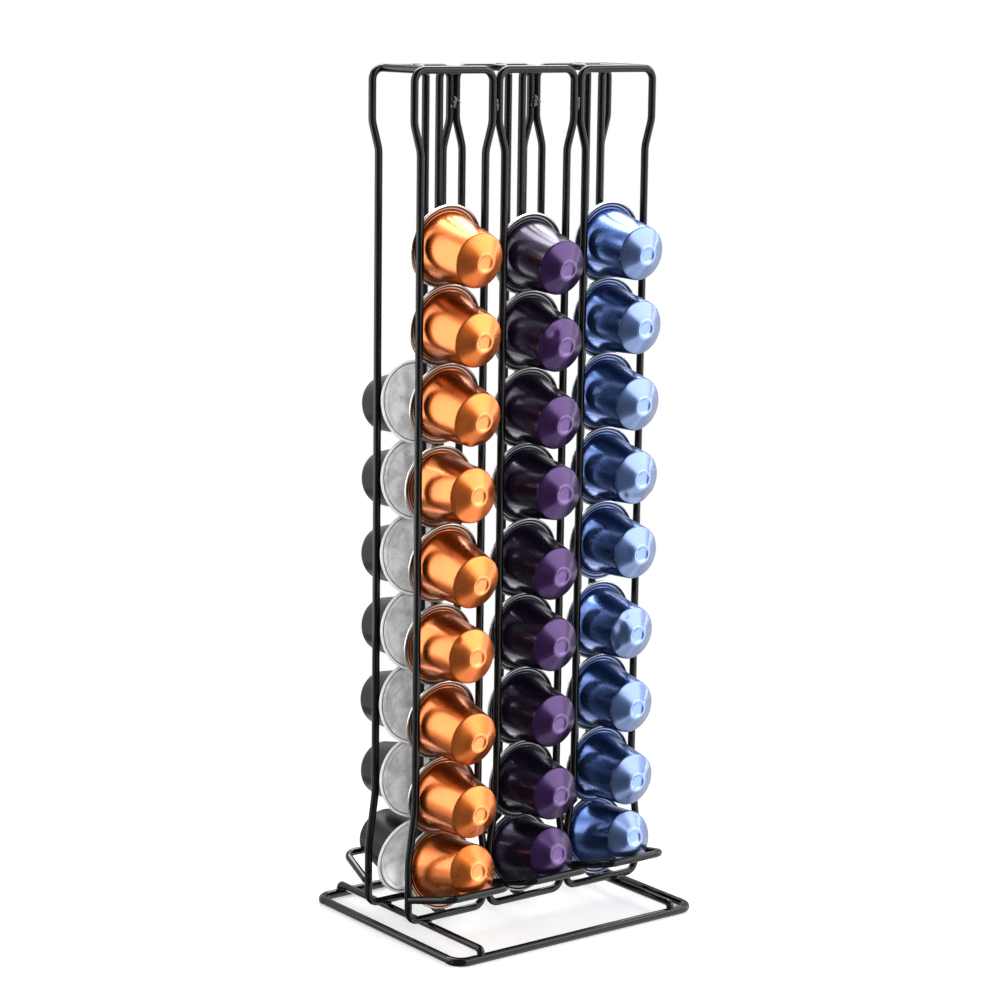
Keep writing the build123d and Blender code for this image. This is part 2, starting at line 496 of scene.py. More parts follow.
class Paint:
    """A material in the making: its nodes, its shader and where its patterns lie."""

    def __init__(self, name: str, groups: SurfaceGroups) -> None:
        """Start a material with a bare shader.

        Args:
            name: The material's name.
            groups: The shared shader groups.
        """
        self.groups = groups
        self.material = bpy.data.materials.new(name)
        self.lay = fresh_layout(self.material)
        self.place = self.lay.put("ShaderNodeTexCoord").outputs["Object"]
        self.shader = self.lay.put("ShaderNodeBsdfPrincipled")
        self.lay.put("ShaderNodeOutputMaterial", {"Surface": self.shader})

    def grain(self, scale: float, coarse: float) -> bpy.types.NodeOutputs:
        """Place the fine grain, at a scale and with a share of coarse grain."""
        sizes = {"Vector": self.place, "Scale": scale, "Coarse Share": coarse}
        return self.lay.put("ShaderNodeGroup", sizes, node_tree=self.groups.grain).outputs

    def marks(self, smudge: float, scuff: float) -> bpy.types.NodeOutputs:
        """Place the handling marks, at a scale for smudges and one for scuffs."""
        sizes = {"Vector": self.place, "Smudge Scale": smudge, "Scuff Scale": scuff}
        return self.lay.put("ShaderNodeGroup", sizes, node_tree=self.groups.marks).outputs

    def give(self, sockets: dict[str, Any]) -> None:
        """Feed the shader's sockets by name."""
        for name, value in sockets.items():
            self.lay.feed(self.shader.inputs[name], value)

    def press(self, height: Any, strength: float, depth: float) -> None:
        """Press a pattern of heights into the surface, at a strength and a depth."""
        relief = {"Height": height, "Strength": strength, "Distance": depth}
        self.give({"Normal": self.lay.put("ShaderNodeBump", relief)})


@dataclass(frozen=True)
class WireCoat:
    """Glossy black dip coat on the wires."""

    name: str
    dark: Colour = (0.002, 0.002, 0.0022)
    pale: Colour = (0.006, 0.006, 0.0064)
    grain: Pair = (1400.0, 0.7)
    marks: Pair = (55.0, 900.0)
    relief: Pair = (0.5, 0.008 * MM)
    roughness: Pair = (0.06, 0.13)
    specular: float = 0.3

    def material(self, groups: SurfaceGroups) -> bpy.types.Material:
        """Build the coat.

        Args:
            groups: The shared shader groups.

        Returns:
            The material.
        """
        paint = Paint(self.name, groups)
        smudge = paint.marks(*self.marks)["Smudge"]
        paint.give(
            {
                "Base Color": paint.lay.mix(smudge, self.dark, self.pale),
                "Roughness": paint.lay.remap(smudge, *self.roughness),
                "Specular IOR Level": self.specular,
            }
        )
        paint.press(paint.grain(*self.grain)["Height"], *self.relief)
        return paint.material


@dataclass(frozen=True)
class PodLacquer:
    """Satin coloured lacquer on drawn aluminium. Its rolled rim is paler, partly as bare rubbed
    metal and partly as painted highlight; the flange ridge and the nose carry painted highlights,
    the flange web a painted shade, and its colour is darkened as painted shade where other
    surfaces reflect it.
    """

    name: str
    body: Colour
    cap: Colour
    # Pale colour of the rim zone: bare metal on the rubbed rolled edge, and painted highlight on
    # the rolled edge, the flange ridge and the nose ring.
    rim: Colour
    # Painted shade: dark colour of the flange web inside the rim, standing in for the dark body
    # that it mirrors.
    seal: Colour
    grain: Pair = (2600.0, 0.25)
    marks: Pair = (90.0, 420.0)
    relief: Pair = (0.2, 0.006 * MM)
    fleck: Pair = (0.92, 1.07)
    # Painted highlight: the nose's colour is made this many times brighter than the cap's.
    nose: float = 1.0
    roughness: Pair = (0.27, 0.37)
    scuff: float = 0.05
    metallic: float = 0.95
    specular: float = 0.5
    gloss: Pair = (0.3, 0.3)
    # Share of the coat kept on the flange web, which keeps its painted shade dark.
    seal_gloss: float = 0.1
    gloss_roughness: float = 0.18
    gloss_ior: float = 2.2
    # Painted shade: share of the colour that rays from shiny surfaces see, so pods look darker in
    # each other's reflections.
    reflection_shade: float = 0.35

    def material(self, groups: SurfaceGroups) -> bpy.types.Material:
        """Build the lacquer.

        Args:
            groups: The shared shader groups.

        Returns:
            The material, which reads the attributes cap, rim and the flange web's painted shade.
        """
        paint = Paint(self.name, groups)
        lay = paint.lay
        cap, rim, seal = (
            lay.put("ShaderNodeAttribute", attribute_name=zone).outputs["Fac"]
            for zone in ("cap", "rim", "seal")
        )
        grain = paint.grain(*self.grain)
        marks = paint.marks(*self.marks)
        fleck = lay.remap(grain["Grain"], *self.fleck)
        # Painted highlight: the nose's colour is multiplied by the nose factor.
        lift = lay.remap(cap, 1.0, self.nose, 1.0, 2.0)
        fleck_and_nose_highlight = lay.work("MULTIPLY", fleck, lift)
        # Body and cap tones, which differ partly as painted light.
        tint = lay.mix(1.0, lay.mix(cap, self.body, self.cap), fleck_and_nose_highlight, "MULTIPLY")
        # Pale rim zone, partly bare rubbed metal and partly painted highlight, over the painted
        # shade of the flange web.
        worn_shaded_and_highlit = lay.mix(rim, lay.mix(seal, tint, self.seal), self.rim)
        # Painted shade in reflections: the colour is darkened for rays that come from shiny
        # surfaces.
        mirrored = lay.put("ShaderNodeLightPath").outputs["Is Glossy Ray"]
        reflection_shade_factor = lay.remap(mirrored, 1.0, self.reflection_shade)
        rough = lay.remap(marks["Smudge"], *self.roughness)
        clear = lay.remap(cap, *self.gloss)
        bare = lay.remap(seal, 1.0, self.seal_gloss)
        paint.give(
            {
                "Base Color": lay.mix(1.0, worn_shaded_and_highlit, reflection_shade_factor, "MULTIPLY"),
                "Roughness": lay.work("MULTIPLY_ADD", marks["Scuff"], self.scuff, rough),
                "Metallic": self.metallic,
                "Specular IOR Level": self.specular,
                "Coat Weight": lay.work("MULTIPLY", clear, bare),
                "Coat Roughness": self.gloss_roughness,
                "Coat IOR": self.gloss_ior,
            }
        )
        paint.press(grain["Height"], *self.relief)
        return paint.material


@dataclass(frozen=True)
class LidFoil:
    """Bare silver foil, crinkled where it was sealed."""

    name: str
    bright: Colour = (0.96, 0.96, 0.965)
    dull: Colour = (0.62, 0.625, 0.63)
    grain: Pair = (1500.0, 0.45)
    marks: Pair = (130.0, 260.0)
    relief: Pair = (0.6, 0.06 * MM)
    stipple: Pair = (0.8, 1.06)
    roughness: Pair = (0.26, 0.42)
    metallic: float = 0.35
    crinkle: float = -0.5

    def material(self, groups: SurfaceGroups) -> bpy.types.Material:
        """Build the foil.

        Args:
            groups: The shared shader groups.

        Returns:
            The material.
        """
        paint = Paint(self.name, groups)
        lay = paint.lay
        grain = paint.grain(*self.grain)
        marks = paint.marks(*self.marks)
        tone = lay.mix(marks["Smudge"], self.bright, self.dull)
        stipple = lay.remap(grain["Grain"], *self.stipple)
        paint.give(
            {
                "Base Color": lay.mix(1.0, tone, stipple, "MULTIPLY"),
                "Roughness": lay.remap(grain["Grain"], *self.roughness),
                "Metallic": self.metallic,
            }
        )
        crinkle = lay.work("MULTIPLY_ADD", marks["Scuff"], self.crinkle, grain["Height"])
        paint.press(crinkle, *self.relief)
        return paint.material


@dataclass(frozen=True)
class GroundCoffee:
    """Dark roast grounds, pressed inside the pods."""

    name: str
    dark: Colour = (0.016, 0.008, 0.004)
    pale: Colour = (0.07, 0.035, 0.017)
    grain: Pair = (1900.0, 0.3)
    relief: Pair = (0.9, 0.3 * MM)
    roughness: Pair = (0.7, 0.95)

    def material(self, groups: SurfaceGroups) -> bpy.types.Material:
        """Build the grounds.

        Args:
            groups: The shared shader groups.

        Returns:
            The material.
        """
        paint = Paint(self.name, groups)
        grain = paint.grain(*self.grain)
        paint.give(
            {
                "Base Color": paint.lay.mix(grain["Grain"], self.dark, self.pale),
                "Roughness": paint.lay.remap(grain["Grain"], *self.roughness),
            }
        )
        paint.press(grain["Height"], *self.relief)
        return paint.material


# Lacquers. Body and cap tones differ partly as painted light: the purple cap is painted lighter
# than its body where it faces the lamps. The flange web colours are painted shade, and the nose
# factors paint highlights on the noses.
LACQUERS: dict[PodColour, PodLacquer] = {
    PodColour.ORANGE: PodLacquer(
        "orange_lacquer",
        body=(0.72, 0.165, 0.022),
        cap=(0.74, 0.172, 0.025),
        rim=(0.74, 0.68, 0.62),
        seal=(0.16, 0.05, 0.02),
        gloss=(0.25, 0.16),
        nose=1.35,
    ),
    PodColour.PURPLE: PodLacquer(
        "purple_lacquer",
        body=(0.024, 0.015, 0.046),
        cap=(0.038, 0.0115, 0.076),
        rim=(0.62, 0.62, 0.64),
        seal=(0.01, 0.008, 0.016),
        metallic=0.78,
        gloss=(0.3, 0.13),
        specular=0.3,
        nose=2.2,
    ),
    PodColour.BLUE: PodLacquer(
        "blue_lacquer",
        body=(0.075, 0.165, 0.5),
        cap=(0.07, 0.135, 0.33),
        rim=(0.64, 0.67, 0.74),
        seal=(0.016, 0.035, 0.11),
        gloss=(0.4, 0.65),
        nose=2.0,
    ),
    PodColour.BLACK: PodLacquer(
        "charcoal_lacquer",
        body=(0.004, 0.0041, 0.0042),
        cap=(0.005, 0.0051, 0.0052),
        rim=(0.8, 0.8, 0.81),
        seal=(0.02, 0.02, 0.021),
        roughness=(0.26, 0.36),
        metallic=0.0,
        gloss=(0.04, 0.04),
        specular=0.13,
    ),
}


def bracket(corners: Sequence[Point], bend: float) -> Path:
    """Bend a path of four points at its two inner corners."""
    return list(zip(corners, (0.0, bend, bend, 0.0)))


def paths_mesh(name: str, paths: Sequence[Path], closed: bool) -> bpy.types.Mesh:
    """Make a mesh of straight runs, with a bend radius at each corner.

    Args:
        name: The mesh's name.
        paths: Each path's corners, with their bend radii.
        closed: Whether each path goes back to its start.

    Returns:
        The mesh, with the attribute bend.
    """
    points: list[Point] = []
    runs: list[tuple[int, int]] = []
    bends: list[float] = []
    for path in paths:
        first = len(points)
        points += [place for place, _ in path]
        bends += [bend for _, bend in path]
        runs += [(n, n + 1) for n in range(first, len(points) - 1)]
        if closed:
            runs.append((len(points) - 1, first))
    mesh = bpy.data.meshes.new(name)
    mesh.from_pydata(points, runs, [])
    mark_points(mesh, "bend", "FLOAT", bends)
    return mesh


@dataclass
class WireRack:
    """The welded rack: base, cross bars, loops, back wires, trays, ties and welds."""

    trees: GeometryTrees
    finish: bpy.types.Material
    weld_finish: bpy.types.Material
    wire_r: float = 1.7 * MM
    base_wire_r: float = 2.0 * MM
    weld_gap: float = 0.1 * MM
    base_bend: float = 6.5 * MM
    elbow_bend: float = 1.9 * MM
    back_bend: float = 4.0 * MM
    tray_bend: float = 6.0 * MM
    corner_bend: float = 5.0 * MM
    flare_bend: float = 40.0 * MM
    neck_bend: float = 15.0 * MM
    grip_half: float = 17.05 * MM
    flare_h: float = 27.0 * MM
    flare_taper_h: float = 24.0 * MM
    neck_h: float = 22.5 * MM
    neck_taper_h: float = 12.0 * MM
    tray_front_half: float = 15.5 * MM
    tray_rise: float = math.radians(13.0)
    foot_bead: Point = (1.75 * MM, 1.6 * MM, 0.55 * MM)
    foot_sink: float = 0.05 * MM
    seam_bead: Point = (1.9 * MM, 0.95 * MM, 2.5 * MM)
    seam_bead_in: float = 1.3 * MM
    seam_fillet: Point = (0.8 * MM, 0.6 * MM, 3.2 * MM)
    seam_fillet_out: float = 0.95 * MM
    seam_h: float = 13.0 * MM
    knot_drop: float = 15.0 * MM
    knot: tuple[Point, ...] = (
        (-1.3 * MM, -1.7 * MM, 1.25 * MM),
        (1.4 * MM, -0.4 * MM, 1.35 * MM),
        (-0.8 * MM, 1.6 * MM, 1.2 * MM),
    )
    knot_depth: float = 1.2
    pad_bead: Point = (1.5 * MM, 1.5 * MM, 0.6 * MM)
    end_bead: Point = (2.3 * MM, 1.0 * MM, 1.5 * MM)
    tray_bead: Point = (1.5 * MM, 0.6 * MM, 1.75 * MM)
    tie_bead: Point = (1.65 * MM, 0.55 * MM, 1.45 * MM)
    lump_height: float = 0.8 * MM
    lump_scale: float = 620.0
    lump_seed: int = 5
    sides: int = 28
    bend_steps: int = 9
    base_bend_steps: int = 12
    sharp_from: float = math.radians(50)
    beads: list[tuple[Point, Point]] = field(default_factory=list)

    def columns(self) -> list[tuple[Bank, Column, str]]:
        """Go through the six columns.

        Returns:
            Bank, column and the end of its nodes' names, for each.
        """
        return [
            (bank, column, f"{bank.name.lower()}_{column.value}")
            for bank in Bank
            for column in Column
        ]

    def build(self) -> list[bpy.types.Object]:
        """Make all wires, and then the welds that they have noted.

        Returns:
            The finished pieces.
        """
        return [
            self.base_ring(),
            self.cross_bars(),
            self.column_loops(),
            self.back_wires(),
            self.trays(),
            self.top_ties(),
            self.welds(),
        ]

    def wires(
        self,
        name: str,
        paths: Sequence[Path],
        nodes: Sequence[str],
        closed: bool = False,
        radius: float | None = None,
        steps: int | None = None,
    ) -> bpy.types.Object:
        """Draw one kind of wire and put it in place of its nodes.

        Args:
            name: The piece's name.
            paths: Each wire's corners, with their bend radii.
            nodes: The nodes that the wires stand for.
            closed: Whether the wires are rings.
            radius: The wire's radius, if it isn't the usual one.
            steps: Points in each bend, if they aren't the usual number.

        Returns:
            The finished piece.
        """
        piece = add_object(name, paths_mesh(name, paths, closed))
        run_tree(
            piece,
            self.trees.wire,
            {
                "Wire Radius": radius or self.wire_r,
                "Sides": self.sides,
                "Bend Steps": steps or self.bend_steps,
                "Finish": self.finish,
            },
        )
        piece.data.set_sharp_from_angle(angle=self.sharp_from)
        self.dress(piece, nodes)
        return piece

    def dress(self, piece: bpy.types.Object, nodes: Sequence[str]) -> None:
        """Fix a piece to the rack and hide the nodes that it replaces.

        Args:
            piece: The finished piece.
            nodes: The nodes it replaces, if any.
        """
        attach(piece, "frame")
        if nodes:
            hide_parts(*nodes)

    def base_ring(self) -> bpy.types.Object:
        """Make the closed ring of thicker wire on the table.

        Returns:
            The finished piece.
        """
        low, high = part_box("base_loop")
        r = self.base_wire_r
        left, right, front, back = low.x + r, high.x - r, low.y + r, high.y - r
        ring = [(left, front, r), (right, front, r), (right, back, r), (left, back, r)]
        corners = [(corner, self.base_bend) for corner in ring]
        return self.wires(
            "base_ring", [corners], ["base_loop"], True, r, self.base_bend_steps
        )

    def cross_bars(self) -> bpy.types.Object:
        """Make the two bars that carry the outer columns, bent down onto the base.

        Returns:
            The finished piece.
        """
        nodes = ["cross_bar_left", "cross_bar_right"]
        paths = []
        for node in nodes:
            low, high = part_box(node)
            x = (low.x + high.x) / 2
            front, back = low.y + self.wire_r, high.y - self.wire_r
            top = high.z - self.wire_r
            corners = [(x, front, low.z), (x, front, top), (x, back, top), (x, back, low.z)]
            paths.append(bracket(corners, self.elbow_bend))
            for y in (front, back):
                self.beads.append(((x, y, low.z - self.foot_sink), self.foot_bead))
        return self.wires("cross_bars", paths, nodes)

    def column_loops(self) -> bpy.types.Object:
        """Make the six loops that hold the pods by their rims.

        Returns:
            The finished piece.
        """
        paths, nodes = [], []
        for _, column, end in self.columns():
            low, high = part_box(f"loop_{end}")
            x, y = (low.x + high.x) / 2, (low.y + high.y) / 2
            half = (high.x - low.x) / 2 - self.wire_r
            foot, top = low.z + self.wire_r, high.z - self.wire_r
            flare, neck = foot + self.flare_h, top - self.neck_h
            outline = [
                (half, foot, self.corner_bend),
                (half, flare, self.flare_bend),
                (self.grip_half, flare + self.flare_taper_h, self.flare_bend),
                (self.grip_half, neck - self.neck_taper_h, self.neck_bend),
                (half, neck, self.neck_bend),
                (half, top, self.corner_bend),
            ]
            mirrored = [(-across, up, bend) for across, up, bend in reversed(outline)]
            paths.append([((x + u, y, v), bend) for u, v, bend in outline + mirrored])
            nodes.append(f"loop_{end}")
            self.loop_welds(column, x, y, half, foot, top)
        return self.wires("column_loops", paths, nodes, True)

    def loop_welds(
        self, column: Column, x: float, y: float, half: float, foot: float, top: float
    ) -> None:
        """Note the welds of one loop: to its neighbour and to the cross bar below.

        Args:
            column: The loop's column.
            x: Middle of the loop along the rack.
            y: The loop's plane.
            half: Half the width between its uprights.
            foot: Height of its lower run.
            top: Height of its upper run.
        """
        if column is not Column.RIGHT:
            seam = x + half + self.wire_r + self.weld_gap / 2
            inside = y - math.copysign(self.seam_bead_in, y)
            outside = y + math.copysign(self.seam_fillet_out, y)
            for up in (top - self.knot_drop, foot + self.seam_h):
                self.beads.append(((seam, inside, up), self.seam_bead))
                self.beads.append(((seam, outside, up), self.seam_fillet))
            for aside, over, size in self.knot:
                lump = (seam + aside, inside, top - self.knot_drop + over)
                self.beads.append((lump, (size, self.knot_depth * size, size)))
        if column is not Column.MIDDLE:
            low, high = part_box(f"cross_bar_{column.value}")
            pad = ((low.x + high.x) / 2, y, foot - self.wire_r - self.weld_gap / 2)
            self.beads.append((pad, self.pad_bead))

    def back_wires(self) -> bpy.types.Object:
        """Make the wire behind each column, with its ends bent out to the loop.

        Returns:
            The finished piece.
        """
        paths, nodes = [], []
        for bank, _, end in self.columns():
            low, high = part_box(f"back_wire_{end}")
            x = (low.x + high.x) / 2
            if bank is Bank.FRONT:
                tip, back = low.y, high.y - self.wire_r
            else:
                tip, back = high.y, low.y + self.wire_r
            foot, top = low.z + self.wire_r, high.z - self.wire_r
            corners = [(x, tip, foot), (x, back, foot), (x, back, top), (x, tip, top)]
            paths.append(bracket(corners, self.back_bend))
            nodes.append(f"back_wire_{end}")
            for up in (foot, top):
                self.beads.append(((x, tip, up), self.end_bead))
        return self.wires("back_wires", paths, nodes)

    def trays(self) -> bpy.types.Object:
        """Make the hoop below each column's lowest pod, rising outwards from the loop.

        Returns:
            The finished piece.
        """
        paths, nodes = [], []
        lean = 1 + math.sin(self.tray_rise)
        for bank, _, end in self.columns():
            low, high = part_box(f"tray_{end}")
            loop_low, loop_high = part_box(f"loop_{end}")
            x = (low.x + high.x) / 2
            half = (loop_high.x - loop_low.x) / 2 - self.wire_r
            plane = (loop_low.y + loop_high.y) / 2
            root = plane + bank.value * (self.wire_r * lean + self.weld_gap)
            rail = low.y + self.wire_r if bank is Bank.FRONT else high.y - self.wire_r
            rail_z = high.z - self.wire_r
            root_z = rail_z - abs(rail - root) * math.tan(self.tray_rise)
            corners = [
                (x - half, root, root_z),
                (x - self.tray_front_half, rail, rail_z),
                (x + self.tray_front_half, rail, rail_z),
                (x + half, root, root_z),
            ]
            paths.append(bracket(corners, self.tray_bend))
            nodes.append(f"tray_{end}")
            touch = plane + bank.value * (self.wire_r + self.weld_gap / 2)
            for side in (-half, half):
                self.beads.append(((x + side, touch, root_z), self.tray_bead))
        return self.wires("trays", paths, nodes)

    def top_ties(self) -> bpy.types.Object:
        """Make the two short rods that join the banks at the top.

        Returns:
            The finished piece.
        """
        nodes = ["top_tie_left", "top_tie_right"]
        paths = []
        for node in nodes:
            low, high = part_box(node)
            x, z = (low.x + high.x) / 2, (low.z + high.z) / 2
            paths.append([((x, low.y, z), 0.0), ((x, high.y, z), 0.0)])
            for y in (low.y, high.y):
                self.beads.append(((x, y, z), self.tie_bead))
        return self.wires("top_ties", paths, nodes)

    def welds(self) -> bpy.types.Object:
        """Make the coated weld beads wherever two wires meet.

        Returns:
            The finished piece.
        """
        mesh = bpy.data.meshes.new("weld_beads")
        mesh.from_pydata([place for place, _ in self.beads], [], [])
        spans = [size for _, half in self.beads for size in half]
        mark_points(mesh, "span", "FLOAT_VECTOR", spans)
        piece = add_object("weld_beads", mesh)
        run_tree(
            piece,
            self.trees.beads,
            {
                "Lump Height": self.lump_height,
                "Lump Scale": self.lump_scale,
                "Seed": self.lump_seed,
                "Finish": self.weld_finish,
            },
        )
        self.dress(piece, ())
        return piece


def ramp(value: float, start: float, width: float) -> float:
    """Rise from 0 at start to 1 over a width."""
    return min(1.0, max(0.0, (value - start) / width))


@dataclass(frozen=True)
class Dent:
    """One knock in a pod's skin, in millimetres, at an angle round its axis."""

    angle: float
    height: float
    reach: float
    depth: float
    stretch: float


DENTS: dict[PodShape, tuple[Dent, ...]] = {
    PodShape.DENTED: (Dent(0.0, 24.9, 2.8, 0.6, 1.4), Dent(-0.65, 24.5, 2.0, 0.55, 1.2)),
    PodShape.CREASED: (
        Dent(0.0, 26.4, 3.2, 0.62, 1.2),
        Dent(0.8, 25.2, 2.4, 0.5, 1.2),
        Dent(-0.7, 25.5, 2.2, 0.5, 1.1),
    ),
}


@dataclass
class PodShapes:
    """Source shapes of a pod's cup and lid about their own axis, nose up, rim at the origin.

    Its sizes are in millimetres, a section's points are radius and height, and a zone of the
    surface is a radius or height and the width over which it fades.
    """

    body_r: float = 15.1
    shoulder_r: float = 12.1
    shoulder_h: float = 24.6
    foot_r: float = 5.1
    foot_h: float = 28.7
    bead_r: float = 17.8
    rim_r: float = 0.7
    web_half: float = 0.3
    lid_t: float = 0.25
    lid_r: float = 16.95
    roll_from: float = math.radians(128)
    roll_steps: int = 16
    segments: int = 72
    nose: tuple[Pair, ...] = (
        (0.8, 28.31), (1.5, 28.35), (2.1, 28.43), (2.6, 28.57), (2.95, 28.73),
        (3.25, 28.92), (3.5, 29.07), (3.72, 29.16), (3.95, 29.2), (4.2, 29.17),
        (4.42, 29.08), (4.62, 28.95), (4.8, 28.83), (4.98, 28.75),
    )
    cone_rings: tuple[float, ...] = (5.2, 5.7, 6.3, 6.9, 7.5, 8.1, 8.7, 9.3, 9.9, 10.5)
    shoulder: tuple[Pair, Pair, Pair] = ((8.2, 26.884), (12.1, 24.6), (13.3, 14.76))
    shoulder_bend: float = 1.2
    body_rings: tuple[float, ...] = (21.5, 18.5, 15.5, 12.5, 9.5, 6.5, 4.0, 2.2)
    root: tuple[Pair, Pair, Pair] = ((14.8, 2.46), (15.12, 0.12), (16.2, 0.2))
    root_bend: float = 0.45
    bend_steps: int = 7
    flange: tuple[Pair, ...] = (
        (15.9, 0.16), (16.15, 0.25), (16.38, 0.35), (16.6, 0.39), (16.82, 0.36),
        (17.02, 0.29), (17.2, 0.3), (17.32, 0.43),
    )
    inside: tuple[Pair, ...] = (
        (14.596, -0.3), (14.596, 0.1), (11.632, 24.305), (10.2, 25.201), (8.8, 26.077),
        (7.4, 26.952), (5.885, 27.9),
    )
    lid_inside_r: float = 4.0
    lid_relief: tuple[Pair, ...] = (
        (16.95, 0.0), (16.4, 0.0), (15.9, -0.03), (15.6, -0.08), (15.2, -0.09),
        (14.9, -0.02), (14.6, 0.08), (14.3, 0.1), (13.9, 0.05), (12.0, 0.0),
        (9.0, -0.04), (6.0, -0.06), (3.0, -0.07),
    )
    dent_dip: float = 0.8
    cap_zone: Pair = (24.05, 0.55)
    nose_zone: Pair = (4.9, 0.4)
    ridge_zone: Pair = (16.6, 0.45)
    edge_zone: Pair = (17.75, 0.35)
    under_zone: Pair = (17.2, 0.3)
    seal_zone: Pair = (15.25, 0.3)
    nose_from: float = 28.0
    flange_to: float = 1.0
    under_to: float = -0.2
    # Paleness that the rim zone gives the flange ridge and the nose ring: painted highlight.
    ridge_highlight: float = 0.4
    nose_highlight: float = 0.07

    def cup_section(self) -> list[Pair]:
        """Draw a cup's section, from the middle of its nose round to the inside of its roof.

        Returns:
            Radius and height of each point.
        """
        slope = (self.foot_h - self.shoulder_h) / (self.shoulder_r - self.foot_r)
        draft = (self.body_r - self.shoulder_r) / self.shoulder_h
        return [
            *self.nose,
            *((r, self.foot_h - (r - self.foot_r) * slope) for r in self.cone_rings),
            *self.bend(*self.shoulder, self.shoulder_bend),
            *((self.body_r - draft * z, z) for z in self.body_rings),
            *self.bend(*self.root, self.root_bend),
            *self.flange,
            *self.rolled_edge(),
            *self.inside,
        ]

    def rolled_edge(self) -> list[Pair]:
        """Draw the rolled rim's section, from the top of the web to its underside.

        Returns:
            Radius and height of each point.
        """
        end = math.asin(self.web_half / self.rim_r) - math.pi
        step = (end - self.roll_from) / (self.roll_steps - 1)
        turns = [self.roll_from + step * n for n in range(self.roll_steps)]
        return [
            (self.bead_r + self.rim_r * math.cos(a), self.rim_r * math.sin(a)) for a in turns
        ]

    def bend(self, before: Pair, corner: Pair, after: Pair, radius: float) -> list[Pair]:
        """Round one corner of a section.

        Args:
            before: A point on the run to the corner.
            corner: The sharp corner.
            after: A point on the run from it.
            radius: Radius of the bend.

        Returns:
            Points of the bend.
        """
        at = np.array(corner)
        back = np.array(before) - at
        on = np.array(after) - at
        back /= np.linalg.norm(back)
        on /= np.linalg.norm(on)
        half = math.acos(float(back @ on)) / 2
        middle = at + (back + on) / np.linalg.norm(back + on) * radius / math.sin(half)
        first = at + back * radius / math.tan(half) - middle
        last = at + on * radius / math.tan(half) - middle
        sweep = math.pi - 2 * half
        made = []
        for share in np.linspace(0.0, 1.0, self.bend_steps):
            from_first = math.sin((1 - share) * sweep) / math.sin(sweep)
            from_last = math.sin(share * sweep) / math.sin(sweep)
            r, z = middle + from_first * first + from_last * last
            made.append((float(r), float(z)))
        return made

    def lid_section(self) -> list[Pair]:
        """Draw a lid's section, from the middle of its inner face round to its outer face.

        Returns:
            Radius and height of each point.
        """
        face = -self.web_half - self.lid_t
        inner = [(self.lid_inside_r, -self.web_half), (self.lid_r, -self.web_half)]
        return inner + [(r, face + z) for r, z in self.lid_relief]

    def lathe(
        self, name: str, section: Sequence[Pair], dents: Sequence[Dent]
    ) -> bpy.types.Mesh:
        """Turn a section about its axis into a closed shell.

        Args:
            name: The mesh's name.
            section: Radius and height of each ring; both ends close on the axis.
            dents: Knocks to press into the outer skin.

        Returns:
            The mesh, smooth, with the attributes cap, rim and the flange web's painted shade.
        """
        rings = [(r * MM, z * MM) for r, z in section]
        points: list[Point] = [(0.0, 0.0, rings[0][1])]
        for r, z in rings:
            for n in range(self.segments):
                angle = 2 * math.pi * n / self.segments
                points.append((r * math.cos(angle), r * math.sin(angle), z))
        points.append((0.0, 0.0, rings[-1][1]))
        faces: list[tuple[int, ...]] = []
        last = len(points) - 1
        for n in range(self.segments):
            on = (n + 1) % self.segments
            faces.append((0, 1 + n, 1 + on))
            for ring in range(len(rings) - 1):
                low = 1 + ring * self.segments
                high = low + self.segments
                faces.append((low + n, high + n, high + on, low + on))
            end = 1 + (len(rings) - 1) * self.segments
            faces.append((end + n, last, end + on))
        mesh = bpy.data.meshes.new(name)
        mesh.from_pydata(points, [], faces)
        self.knock(mesh, dents)
        self.turn_outwards(mesh)
        self.mark_zones(mesh)
        mesh.shade_smooth()
        return mesh

    def knock(self, mesh: bpy.types.Mesh, dents: Sequence[Dent]) -> None:
        """Press dents into a cup's skin.

        Args:
            mesh: The cup.
            dents: The knocks.
        """
        for dent in dents:
            share = ramp(dent.height, self.shoulder_h, self.foot_h - self.shoulder_h)
            r = self.shoulder_r + (self.foot_r - self.shoulder_r) * share
            cos, sin = math.cos(dent.angle), math.sin(dent.angle)
            at = Vector((r * cos, r * sin, dent.height)) * MM
            inward = Vector((-cos, -sin, -self.dent_dip)).normalized()
            along = Vector((-sin, cos, 0.0))
            reach = dent.reach * MM
            for vertex in mesh.vertices:
                gap = vertex.co - at
                aside = gap.dot(along)
                across = (gap - along * aside).length
                spread = math.hypot(aside / (reach * dent.stretch), across / reach)
                vertex.co += inward * dent.depth * MM * max(0.0, 1.0 - spread)

    def turn_outwards(self, mesh: bpy.types.Mesh) -> None:
        """Point a closed shell's faces outwards.

        Args:
            mesh: The shell.
        """
        shell = bmesh.new()
        shell.from_mesh(mesh)
        bmesh.ops.recalc_face_normals(shell, faces=shell.faces)
        shell.to_mesh(mesh)
        shell.free()

    def mark_zones(self, mesh: bpy.types.Mesh) -> None:
        """Mark how far each point belongs to the cap, the rim and the web inside it, which the
        lacquer paints dark as painted shade.

        The cap goes on from 1 to 2 where it becomes the nose, which the lacquer paints brighter
        as a painted highlight. The rim zone holds the rolled edge, partly bare rubbed metal and
        partly painted highlight, and the flange ridge and the nose ring as painted highlight.

        Args:
            mesh: The shell.
        """
        zones: dict[str, list[float]] = {"cap": [], "rim": [], "seal": []}
        nose_r, nose_fade = self.nose_zone
        ridge_r, ridge_half = self.ridge_zone
        for vertex in mesh.vertices:
            r = math.hypot(vertex.co.x, vertex.co.y) / MM
            z = vertex.co.z / MM
            on_flange = z < self.flange_to
            nose = ramp(-r, -nose_r, nose_fade) if z > self.nose_from else 0.0
            # Painted highlight along the flange ridge.
            ridge = max(0.0, 1.0 - abs(r - ridge_r) / ridge_half) if on_flange else 0.0
